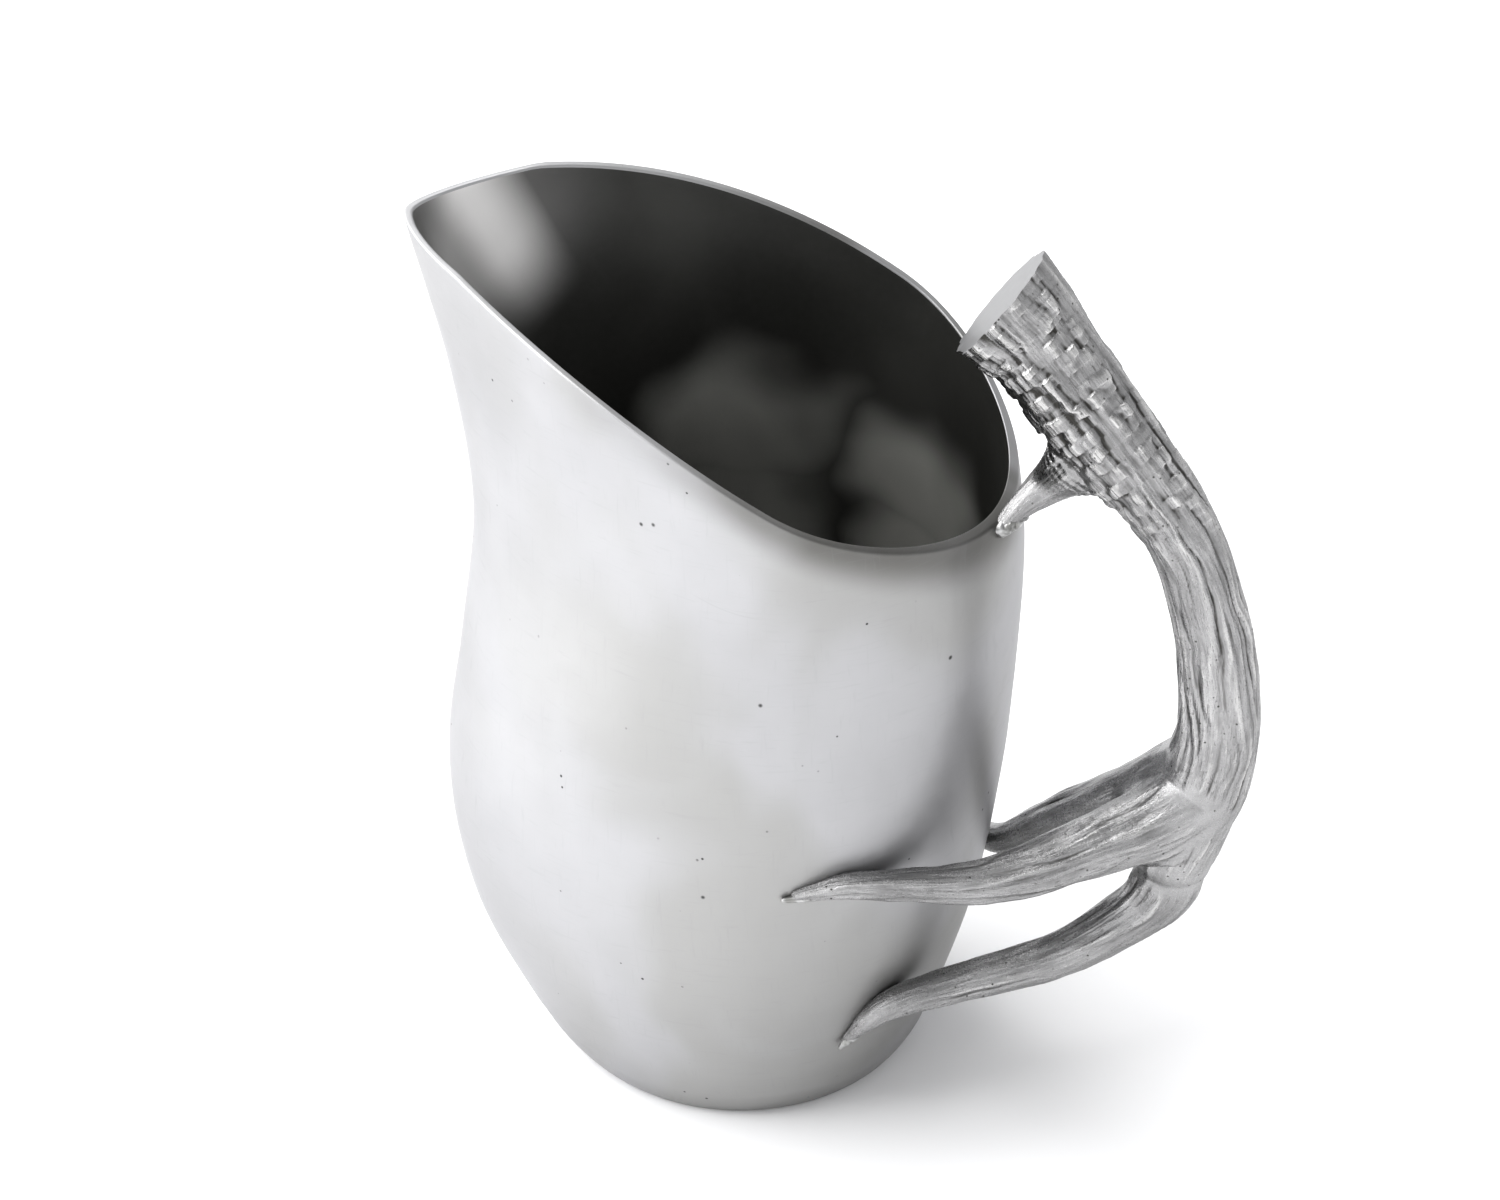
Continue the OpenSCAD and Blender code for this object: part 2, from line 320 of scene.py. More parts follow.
def antler_metal():
    """Cast antler: satin metal, dark antiqued grooves and bright worn ridges."""
    s = Shader("antler_metal", edge=0.7)
    p = s.place
    flow = s.attr("flow", vector=True)
    cavity = s.attr("cavity")
    fork = s.attr("fork")
    # streaks along the growth, which fade out at the forks where the growth lines of two branches clash
    growth = s.noise(flow, 1.0, 4.0, 0.6, 0.3)
    streak = s.ramp(fork, 0.0, 1.0, growth, 0.5)
    thread = s.ramp(fork, 0.0, 1.0, s.noise(s.scaled(flow, (2.8, 2.8, 1.5)), 1.0, 3.0, 0.6), 0.5)
    grain = s.noise(p, 1500.0, 3.0, 0.65)
    mottle = s.noise(p, 190.0, 3.0, 0.6)
    region = s.noise(p, 42.0, 2.0)
    pins = s.math("MULTIPLY", s.ramp(s.cells(p, 330.0), 0.07, 0.13, 1, 0), s.ramp(region, 0.44, 0.54, 0, 1))
    crack = s.ramp(s.math("ABSOLUTE", s.math("SUBTRACT", growth, 0.5)), 0.0, 0.020, 1, 0)
    crack = s.math("MULTIPLY", crack, s.ramp(mottle, 0.42, 0.58, 0, 1))
    crack = s.math("MULTIPLY", crack, s.ramp(fork, 0.0, 1.0, 1.0, 0.0))
    crest = s.ramp(s.math("ABSOLUTE", s.math("SUBTRACT", thread, 0.56)), 0.0, 0.035, 1, 0)
    # patina: deep only in the grooves, with streaks along the growth of the antler
    low = s.ramp(cavity, -0.55, -0.10, 1, 0, smooth=True)
    low = s.math("ADD", low, s.ramp(streak, 0.36, 0.60, 0.20, -0.14))
    low = s.math("ADD", low, s.ramp(mottle, 0.35, 0.65, 0.12, -0.10))
    low = s.math("MAXIMUM", low, s.math("MULTIPLY", crack, 0.7))
    low = s.math("MINIMUM", s.math("MAXIMUM", low, 0.0), 1.0)
    worn = s.math("MAXIMUM", s.ramp(cavity, 0.10, 0.45, 0, 1, smooth=True),
                  s.math("MULTIPLY", crest, s.ramp(cavity, -0.05, 0.20, 0, 0.8)))
    worn = s.math("MULTIPLY", worn, s.ramp(grain, 0.3, 0.6, 0.75, 1.0))
    tone = s.mix(s.ramp(region, 0.35, 0.65, 0, 1), (0.30, 0.298, 0.30), (0.42, 0.417, 0.42))
    tone = s.mix(worn, tone, (0.62, 0.615, 0.61))
    tone = s.mix(low, tone, (0.06, 0.058, 0.054))
    tone = s.mix(pins, tone, (0.06, 0.06, 0.055))
    rough = s.math("ADD", s.ramp(grain, 0.3, 0.7, 0.22, 0.34), s.math("MULTIPLY", low, 0.2))
    rough = s.math("SUBTRACT", rough, s.math("MULTIPLY", worn, 0.06))
    normal = s.bump(s.math("ADD", streak, s.math("MULTIPLY", thread, 0.45)), 0.0011, 0.5)
    normal = s.bump(s.math("ADD", grain, s.math("MULTIPLY", mottle, 0.6)), 0.00014, 0.6, normal)
    normal = s.bump(s.math("ADD", pins, crack), 0.0003, -0.8, normal)
    return s.finish(tone, rough, normal)


def sawn_metal():
    """Sawn end of the burr: bright satin with fine saw marks."""
    s = Shader("sawn_metal", edge=0.75)
    p = s.place
    saw = s.noise(s.scaled(p, (300, 90, 1500), (0.0, 0.66, 0.0)), 1.0, 3.0)
    mottle = s.noise(p, 260.0, 3.0)
    tone = s.mix(s.ramp(mottle, 0.35, 0.7, 0, 1), (0.29, 0.29, 0.295), (0.34, 0.34, 0.345))
    normal = s.bump(saw, 0.00008, 0.6)
    return s.finish(tone, s.ramp(mottle, 0.3, 0.7, 0.36, 0.42), normal)


def solder_metal():
    """Braze at the joints: bright, dressed, mottled with darker patches."""
    s = Shader("solder_metal")
    p = s.place
    mottle = s.noise(p, 420.0, 3.0)
    grain = s.noise(p, 1700.0, 2.0)
    tone = s.mix(s.ramp(mottle, 0.38, 0.62, 0, 1), (0.27, 0.27, 0.26), (0.50, 0.50, 0.50))
    normal = s.bump(s.math("ADD", mottle, s.math("MULTIPLY", grain, 0.3)), 0.0004, 0.7)
    return s.finish(tone, s.ramp(mottle, 0.3, 0.7, 0.46, 0.30), normal)


POLISHED = polished_metal()
INNER = inner_metal()
ANTLER = antler_metal()
SAWN = sawn_metal()
SOLDER = solder_metal()


# ---------------------------------------------------------------- body

WALL = 2.6
FLOOR = 3.0
BASE_R = 44.0
FOOT_IN, FOOT_UP = 3.0, 10.0
RIM_SPOUT_Z, RIM_LOW_Z, RIM_START_X, RIM_END_X, RIM_EASE = 255.5, 137.0, -63.0, 197.0, 0.57
KAPPA = 0.5523

# Height, reach of the spout side, reach of the handle side, half width,
# roundness of the spout side, place along X of the widest point
SECTIONS = np.array([
    [0, 54.0, 53.0, 51.5, 0.48, 2],
    [20, 65.5, 61.0, 58.0, 0.54, 2],
    [50, 77.5, 70.0, 66.0, 0.60, 3],
    [90, 83.0, 77.0, 71.0, 0.58, 5],
    [130, 78.0, 81.0, 69.5, 0.46, 11],
    [170, 74.0, 82.5, 66.0, 0.30, 19],
    [210, 79.5, 77.5, 68.0, 0.20, 30],
    [250, 88.5, 83.0, 74.0, 0.19, 36],
])


def section(column, z):
    """Smooth value of one column of SECTIONS at heights z."""
    t, v = SECTIONS[:, 0], SECTIONS[:, column]
    k = np.clip(np.searchsorted(t, z, side="right") - 1, 0, len(t) - 2)
    above, below = np.minimum(np.arange(len(t)) + 1, len(t) - 1), np.maximum(np.arange(len(t)) - 1, 0)
    m = (v[above] - v[below]) / (t[above] - t[below])
    h = t[k + 1] - t[k]
    s = (z - t[k]) / h
    return (v[k] * (2 * s**3 - 3 * s**2 + 1) + m[k] * h * s * (1 - s) ** 2
            + v[k + 1] * s * s * (3 - 2 * s) + m[k + 1] * h * s * s * (s - 1))


def ring_point(z, t, inset):
    """Point of the half ring at height z: t is 0 at the spout, 2 at the handle."""
    z, t, inset = np.broadcast_arrays(np.asarray(z, float), t, inset)
    d = inset + np.where(z < FOOT_UP, FOOT_IN * (1 - np.sqrt(np.clip(1 - (1 - z / FOOT_UP) ** 2, 0, 1))), 0)
    f, b, w = (section(c, z) - d for c in (1, 2, 3))
    k, m = section(4, z), section(5, z)

    def cubic(p0, p1, p2, p3, s):
        return p0 * (1 - s) ** 3 + 3 * p1 * (1 - s) ** 2 * s + 3 * p2 * (1 - s) * s * s + p3 * s**3

    s, e = np.clip(t, 0, 1), np.clip(t - 1, 0, 1)
    front = t <= 1
    x = np.where(front, cubic(-f, -f, m - KAPPA * (m + f), m, s), cubic(m, m + KAPPA * (b - m), b, b, e))
    y = np.where(front, cubic(0, k * w, w, w, s), cubic(w, w, KAPPA * w, 0, e))
    return x, y


def rim_height(x):
    u = np.clip((x - RIM_START_X) / (RIM_END_X - RIM_START_X), 0, 1)
    return RIM_SPOUT_Z + (RIM_LOW_Z - RIM_SPOUT_Z) * ((1 - RIM_EASE) * u + RIM_EASE * u * u * (3 - 2 * u))


def build_body():
    """Foot, wall, rim and inside as one closed skin of rings, from the underside round to the floor."""
    half, wall_rows, foot_rows, fillet_rows = 112, 130, 12, 10
    lip, fillet, seat_gap, recess = 0.75, 9.0, 0.15, 2.2
    around = 2 * half
    t = np.concatenate([np.linspace(0, 2, half + 1), np.linspace(2, 0, half + 1)[1:-1]])
    side = np.where(np.arange(around) <= half, 1.0, -1.0)

    def tops(inset):
        z = np.full(around, 220.0)
        for _ in range(24):
            z = rim_height(ring_point(z, t, inset)[0])
        return z

    def points(z, inset):
        x, y = ring_point(z, t, inset)
        return np.stack([x, y * side, np.broadcast_to(z, x.shape)], -1)

    swell = Noise(7)

    def waved(z, inset, top):
        """Ring of the skin, drawn in a little by slow soft waves that fade out at the rim and foot."""
        p = points(z, inset)
        slow = swell(p[:, 0] / 34, p[:, 1] / 34, p[:, 2] / 46) + 0.35 * swell(
            p[:, 0] / 15, p[:, 1] / 15, p[:, 2] / 19)
        fade = step(2.0, 16.0, top - z) * step(0.0, 14.0, np.broadcast_to(z, t.shape))
        return points(z, inset + 0.55 * fade * (0.5 + 0.5 * np.clip(slow, -1, 1)))

    outer_top, inner_top = tops(0.0), tops(WALL)
    rows, tags = [], []

    def add(ring, tag):
        rows.append(ring)
        tags.append(tag)

    # underside, from the hole for the base plate outwards, then the rounded foot
    seat = unit(points(0.0, 0.0)[:, :2])
    hole = BASE_R + seat_gap
    for r, z in ((hole, recess), (hole, 1.2), (hole, 0.25), (hole + 0.25, 0.0)):
        add(np.column_stack([seat * r, np.full(around, z)]), 0)
    add(np.column_stack([(seat * hole + points(0.0, 0.0)[:, :2]) / 2, np.zeros(around)]), 0)
    for a in np.linspace(0.12, math.pi / 2, foot_rows):
        z = FOOT_UP * (1 - math.cos(a))
        add(points(z if z > 1e-6 else 0.0, 0.0), 0)
    for v in np.linspace(0, 1, wall_rows)[1:]:
        z = FOOT_UP + (outer_top - lip - FOOT_UP) * v
        add(waved(z, 0.0, outer_top), 0)

    # rim: a flat band with two small rounded edges
    p_out, p_in = points(outer_top, 0.0), points(inner_top, WALL)
    across = unit(p_in - p_out)
    low_out, low_in = rows[-1], points(inner_top - lip, WALL)
    for s in np.linspace(0, 1, 6)[1:]:
        add(low_out * (1 - s) ** 2 + 2 * s * (1 - s) * p_out + s * s * (p_out + across * lip), 0)
    for s in (0.33, 0.67):
        add((p_out + across * lip) * (1 - s) + (p_in - across * lip) * s, 0)
    for s in np.linspace(0, 1, 6):
        add((p_in - across * lip) * (1 - s) ** 2 + 2 * s * (1 - s) * p_in + s * s * low_in, 0)

    # inside, down to a filleted floor
    start = FLOOR + fillet
    for v in np.linspace(1, 0, wall_rows)[1:]:
        z = start + (inner_top - lip - start) * v
        add(waved(z, WALL, inner_top), 1)
    for a in np.linspace(0, math.pi / 2, fillet_rows)[1:]:
        z = FLOOR + fillet * (1 - math.sin(a))
        add(points(z, WALL + fillet * (1 - math.cos(a))), 1)
    last = rows[-1]
    for k in (0.82, 0.62, 0.42, 0.22):
        add(np.column_stack([last[:, :2] * k, np.full(around, FLOOR)]), 1)

    verts = np.concatenate(rows)
    faces = grid_faces(len(rows), around)
    indices = np.repeat(tags[1:], around).tolist()
    centre_in, centre_out = len(verts), len(verts) + 1
    end = (len(rows) - 1) * around
    for i in range(around):
        j = (i + 1) % around
        faces.append([end + i, end + j, centre_in])
        indices.append(1)
        faces.append([j, i, centre_out])
        indices.append(0)
    verts = np.vstack([verts, [[0, 0, FLOOR], [0, 0, recess]]])
    obj = new_object("pitcher_body", verts, faces, (POLISHED, INNER), indices)
    attribute(obj.data, "below_rim", (rim_height(verts[:, 0]) - verts[:, 2]) / 10)
    fix_normals(obj)
    return obj


def fix_normals(obj):
    bm = bmesh.new()
    bm.from_mesh(obj.data)
    bmesh.ops.recalc_face_normals(bm, faces=bm.faces)
    bm.to_mesh(obj.data)
    bm.free()


def build_base():
    """Turned disc in the bottom, recessed a little so that it stands on its outer band."""
    profile = [(0.0, 0.6), (8, 0.6), (20, 0.6), (32, 0.6), (35.0, 0.55), (36.2, 0.05), (37, 0.0),
               (40, 0.0), (43.4, 0.0), (43.75, 0.12), (BASE_R, 0.5), (BASE_R, 1.6), (43.7, 2.05),
               (30, 2.05), (12, 2.05), (0.0, 2.05)]
    around = 128
    a = np.linspace(0, 2 * math.pi, around, endpoint=False)
    rows = [np.column_stack([r * np.cos(a), r * np.sin(a), np.full(around, z)]) for r, z in profile[1:-1]]
    verts = np.vstack(rows + [[[0, 0, profile[0][1]], [0, 0, profile[-1][1]]]])
    faces = grid_faces(len(rows), around)
    low, high, end = len(verts) - 2, len(verts) - 1, (len(rows) - 1) * around
    for i in range(around):
        j = (i + 1) % around
        faces += [[j, i, low], [end + i, end + j, high]]
    obj = new_object("base_disc", verts, faces, (POLISHED,))
    fix_normals(obj)
    return obj


# ---------------------------------------------------------------- antler

# Branches: centre line and radius at each knot, from root to tip
KNOTS = {
    "antler_beam": [
        [66, 0, 260, 18.5], [75.5, 0, 249, 18.5], [84.5, 0, 240.5, 16], [100, 0, 221.5, 14.2],
        [118, 0, 199.5, 11.7], [129.2, 0, 181, 10.3], [137, 0, 154, 11], [139.5, 0, 130, 11.8],
        [136.5, 0, 108, 12.7], [129, -1, 82, 11.3]],
    "rim_tine": [
        [104, 0, 213, 9], [95, 0, 201.5, 7.5], [89.5, -1, 196, 5.8], [84.2, -5, 191.7, 4],
        [80, -10, 187, 2.7]],
    "near_tine": [
        [133, -3, 103, 11.5], [123.5, -9, 97, 10.8], [111.5, -18, 94, 9.3], [87.5, -36, 90, 7],
        [63, -51.5, 94, 4.6], [50, -59.3, 96.5, 3.6], [37.5, -64.3, 94.5, 1.8]],
    "far_tine": [
        [132, 1, 112, 8.5], [117, 5, 98.5, 7.7], [102, 11, 84.5, 7.3], [88.5, 16, 72, 6.6],
        [77, 20, 62, 5.2], [68, 29.5, 54.5, 4.2], [59, 39.5, 51, 3.2], [50, 47.5, 48, 1.9]],
    "lower_tine": [
        [128.5, -1, 80, 9.8], [126.5, -1.5, 70, 9.7], [117.5, -4, 59.5, 8.5], [98, -14, 48, 7],
        [73.5, -28.5, 44.5, 5.5], [57, -42, 43, 4.3], [46.4, -45, 32, 1.6]],
}
SLIM = 0.95            # room under the CAD envelope for the ridges
BURR_TILT = math.radians(38)
BURR_AT = np.array([75.5, 0.0, 249.0])
BURR_OUT = np.array([-math.cos(BURR_TILT), 0.0, math.sin(BURR_TILT)])   # square to the saw cut
BURR_FACE = 3.35       # angle round the beam of the side with the strongest nodules
VOXEL = 0.5
HIGHEST, DEEPEST = 0.95, 2.4   # limits of the relief, above and below the smooth form

# Reach of the web that fills the fork between two branches
WEB = {("antler_beam", "rim_tine"): 13.0, ("near_tine", "lower_tine"): 5.0, ("near_tine", "far_tine"): 6.0,
       ("lower_tine", "far_tine"): 5.0}
WEB_ELSEWHERE = 9.0


class Branch:
    """A smooth line with a radius, and a frame that is carried along it without twist."""

    def __init__(self, knots, steps=7, slim=1.0):
        v = np.array(knots, float)
        last = len(v) - 1
        rows = []
        for k in range(last):
            p, q = v[k], v[k + 1]
            m, n = (q - v[max(k - 1, 0)]) / 2, (v[min(k + 2, last)] - p) / 2
            for s in np.arange(steps) / steps:
                rows.append(p * (2 * s**3 - 3 * s * s + 1) + m * s * (1 - s) ** 2
                            + q * s * s * (3 - 2 * s) + n * s * s * (s - 1))
        rows.append(v[last])
        line = np.array(rows)
        self.at, self.r = line[:, :3], line[:, 3] * slim
        self.run = np.concatenate([[0], np.cumsum(np.linalg.norm(np.diff(self.at, axis=0), axis=1))])
        self.t = unit(np.gradient(self.at, axis=0))
        side = np.array([0.0, 1.0, 0.0])
        self.n = np.zeros_like(self.at)
        for i, t in enumerate(self.t):
            side = side - t * side.dot(t)
            side /= np.linalg.norm(side)
            self.n[i] = side
        self.b = np.cross(self.t, self.n)

    def locate(self, points):
        """Distance, outward direction, arc length and angle round the line, for each point."""
        a, ab = self.at[:-1], np.diff(self.at, axis=0)
        dr = np.diff(self.r)
        len2 = (ab**2).sum(1)
        count = len(points)
        out = [np.empty(count), np.empty((count, 3)), np.empty(count), np.empty(count)]
        for lo in range(0, len(points), 16384):
            p = points[lo:lo + 16384]
            rel = p[:, None] - a[None]
            u = np.clip((rel * ab).sum(-1) / len2, 0, 1)
            d = np.linalg.norm(rel - u[..., None] * ab, axis=-1) - (self.r[:-1] + u * dr)
            k = d.argmin(1)
            i = np.arange(len(p))
            u = u[i, k]
            v = p - (a[k] + u[:, None] * ab[k])
            n, b = (w[k] + u[:, None] * (w[k + 1] - w[k]) for w in (self.n, self.b))
            hi = lo + len(p)
            out[0][lo:hi] = d[i, k]
            out[1][lo:hi] = unit(v)
            out[2][lo:hi] = self.run[k] + u * (self.run[k + 1] - self.run[k])
            out[3][lo:hi] = np.arctan2((v * b).sum(1), (v * n).sum(1))
        return out

    def tube(self, around=36):
        """Closed tube with round ends, as points and faces."""
        a = np.linspace(0, 2 * math.pi, around, endpoint=False)
        rows = []

        def ring(c, n, b, r):
            rows.append(c + r * (np.cos(a)[:, None] * n + np.sin(a)[:, None] * b))

        for th in (0.35, 0.75, 1.15):
            ring(self.at[0] - self.t[0] * self.r[0] * math.cos(th), self.n[0], self.b[0],
                 self.r[0] * math.sin(th))
        for c, n, b, r in zip(self.at, self.n, self.b, self.r):
            ring(c, n, b, r)
        for th in (1.15, 0.75, 0.35):
            ring(self.at[-1] + self.t[-1] * self.r[-1] * math.cos(th), self.n[-1], self.b[-1],
                 self.r[-1] * math.sin(th))
        ends = [self.at[0] - self.t[0] * self.r[0], self.at[-1] + self.t[-1] * self.r[-1]]
        verts = np.vstack(rows + [ends])
        faces = grid_faces(len(rows), around)
        end = (len(rows) - 1) * around
        for i in range(around):
            j = (i + 1) % around
            faces += [[j, i, len(verts) - 2], [end + i, end + j, len(verts) - 1]]
        return verts, faces


def remeshed(branches, voxel):
    """One skin over all the tubes, as points and quads in millimetres."""
    verts, faces = [], []
    for b in branches:
        v, f = b.tube()
        start = sum(map(len, verts))
        verts.append(v)
        faces += [[i + start for i in face] for face in f]
    obj = new_object("scratch", np.vstack(verts), faces)
    fix_normals(obj)
    mod = obj.modifiers.new("skin", "REMESH")
    mod.mode = "VOXEL"
    mod.voxel_size = voxel * MM
    mesh = bpy.data.meshes.new_from_object(obj.evaluated_get(bpy.context.evaluated_depsgraph_get()))
    co = np.empty(len(mesh.vertices) * 3)
    mesh.vertices.foreach_get("co", co)
    quads = np.empty(len(mesh.loops), dtype=np.int32)
    mesh.loops.foreach_get("vertex_index", quads)
    old = obj.data
    bpy.data.objects.remove(obj)
    bpy.data.meshes.remove(old)
    bpy.data.meshes.remove(mesh)
    return co.reshape(-1, 3) / MM, quads.reshape(-1, 4)


def edges_of(quads):
    """Each edge once, as a pair of vertex numbers."""
    e = np.sort(np.concatenate([quads[:, [c, (c + 1) % 4]] for c in range(4)]), axis=1)
    return np.unique(e, axis=0)


def averaged(values, edges):
    """Mean of the neighbours of each vertex."""
    n = len(values)
    i, j = np.concatenate([edges, edges[:, ::-1]]).T
    count = np.maximum(np.bincount(i, minlength=n), 1)
    if values.ndim == 1:
        return np.bincount(i, values[j], n) / count
    return np.stack([np.bincount(i, values[j, c], n) for c in range(values.shape[1])], 1) / count[:, None]


def normals_of(p, quads):
    a, b = p[quads[:, 2]] - p[quads[:, 0]], p[quads[:, 3]] - p[quads[:, 1]]
    face = np.cross(a, b)
    n = np.zeros_like(p)
    for c in range(4):
        for k in range(3):
            n[:, k] += np.bincount(quads[:, c], face[:, k], len(p))
    return unit(n)


def settle(p, quads, branches, rounds=5):
    """Moves the skin onto the webbed union of the branches. Returns points and branch places."""
    names = list(branches)
    edges = edges_of(quads)
    web = np.full((len(names), len(names)), WEB_ELSEWHERE)
    for (a, b), w in WEB.items():
        web[names.index(a), names.index(b)] = web[names.index(b), names.index(a)] = w
    for k in range(rounds):
        found = [branches[n].locate(p) for n in names]
        d, g = np.stack([f[0] for f in found]), np.stack([f[1] for f in found])
        order = d.argsort(0)
        i = np.arange(len(p))
        first, second = order[0], order[1]
        a, b, ga, gb = d[first, i], d[second, i], g[first, i], g[second, i]
        reach = web[first, second]
        h = np.maximum(reach - (b - a), 0) / reach
        open_fork = np.clip(1 - (ga * gb).sum(1), 0, 1)
        gap = a - reach / 4 * h * h * open_fork
        way = unit(ga * (1 - h / 2)[:, None] + gb * (h / 2)[:, None])
        p = p - way * (gap * 0.9)[:, None]
        if k < rounds - 1:
            n = normals_of(p, quads)
            slide = averaged(p, edges) - p
            p = p + 0.6 * (slide - n * (slide * n).sum(1)[:, None])
    return p, found, d


def pearls(s, phi, r, seed, rows=13):
    """Rounded nodules that run together, long ones away from the near side. About 0 to 1."""
    rng = np.random.RandomState(seed)
    total = np.zeros(len(s))
    s = s + 2.6 * WANDER(np.cos(phi) * r / 7, np.sin(phi) * r / 7, s / 9)
    phi = phi + 2.0 / r * WANDER(np.cos(phi) * r / 6 + 7, np.sin(phi) * r / 6, s / 8)
    for k in range(rows):
        row_at = (k + rng.uniform(-0.3, 0.3)) * 2 * math.pi / rows
        outer = 1 - step(-0.5, 0.3, math.cos(row_at - BURR_FACE))
        at = rng.uniform(-12, 0)
        while at < 130:
            ang, long = row_at + rng.uniform(-0.14, 0.14), (4.0 + 10 * outer) * rng.uniform(0.75, 1.35)
            wide, tall, lean = rng.uniform(2.7, 4.1), rng.uniform(0.5, 1.0), rng.uniform(-0.4, 0.4)
            turn = ((phi - ang + math.pi) % (2 * math.pi) - math.pi) * r
            q = ((s - at + lean * turn) / long) ** 2 + (turn / wide) ** 2
            total = (total**4 + (tall * np.exp(-1.2 * q**1.05)) ** 4) ** 0.25
            at += long * rng.uniform(1.45, 2.2)
    return total


def row_grooves(s, turn, rows, seed):
    """Long grooves between the rows, each deep in some places and gone in others."""
    place = turn * rows / (2 * math.pi)
    which = np.round(place)
    off = (place - which) * 2 * math.pi / rows
    depth = step(-0.05, 0.65, Noise(seed)(which * 3.7 + 0.5, s / 26, 0.5))
    return off, depth


WANDER, BROAD, STRAND, THREAD, LUMPS = (Noise(k) for k in (11, 12, 13, 14, 15))


def stem_relief(name, s, phi, r, mean_r):
    """Height of the cast antler surface over its smooth form, millimetres."""
    offset = 17.0 * (1 + list(KNOTS).index(name))
    bend = 0.30 * WANDER(np.cos(phi), np.sin(phi), s / 30 + offset) + 0.10 * WANDER(
        2 * np.cos(phi), 2 * np.sin(phi), s / 11 + offset)
    x, y = np.cos(phi + bend), np.sin(phi + bend)
    k = mean_r / 4.6
    broad = np.abs(BROAD(x * k, y * k, s / 62 + offset))
    k = mean_r / 2.3
    strand = np.abs(STRAND(x * k, y * k, s / 40 + offset))
    k = mean_r / 1.05
    thread = THREAD(x * k, y * k, s / 16 + offset)
    size = np.clip(r / 10.5, 0.25, 1.0)
    lines = 1.75 * (np.minimum(broad, 0.55) - 0.28) + 1.05 * (np.minimum(strand, 0.5) - 0.22)
    h = size * (lines + 0.10 * thread)
    off, depth = row_grooves(s + offset, phi + bend, 7, 21)
    h -= 0.9 * size * depth * np.exp(-((off * r / 0.8) ** 2))
    if name == "antler_beam":
        # nodules on the burr and long grooves down from it; angle pi / 2 is the outer side of the
        # bend, pi the near side, 3 pi / 2 the side of the body
        burr = 1 - step(58, 108, s)
        facing = 0.4 + 0.6 * step(-0.6, 0.35, np.cos(phi - BURR_FACE))
        h = h * (1 - 0.45 * burr * facing) + burr * facing * (3.0 * pearls(s, phi + 0.5 * bend, r, 5) - 1.7)
        wavy = phi + 0.5 * bend + 1.6 / r * WANDER(np.cos(phi) * r / 6, 5 + np.sin(phi) * r / 6, s / 10)
        off, depth = row_grooves(s, wavy, 10, 22)
        h -= 0.9 * burr * facing * depth * np.exp(-((off * r / 0.75) ** 2))
        for angle, depth, end in ((2.88, 1.7, 112), (1.95, 0.9, 90), (0.5, 1.1, 120), (5.2, 0.8, 140)):
            turn = phi + 0.6 * bend + 1.2 / r * WANDER(0.7, angle, s / 6) - angle
            turn = (turn + math.pi) % (2 * math.pi) - math.pi
            h -= depth * np.exp(-((turn * r / 0.8) ** 2)) * (1 - step(end - 45, end, s)) * (
                0.55 + 0.45 * WANDER(0.3, angle, s / 7))
    return h


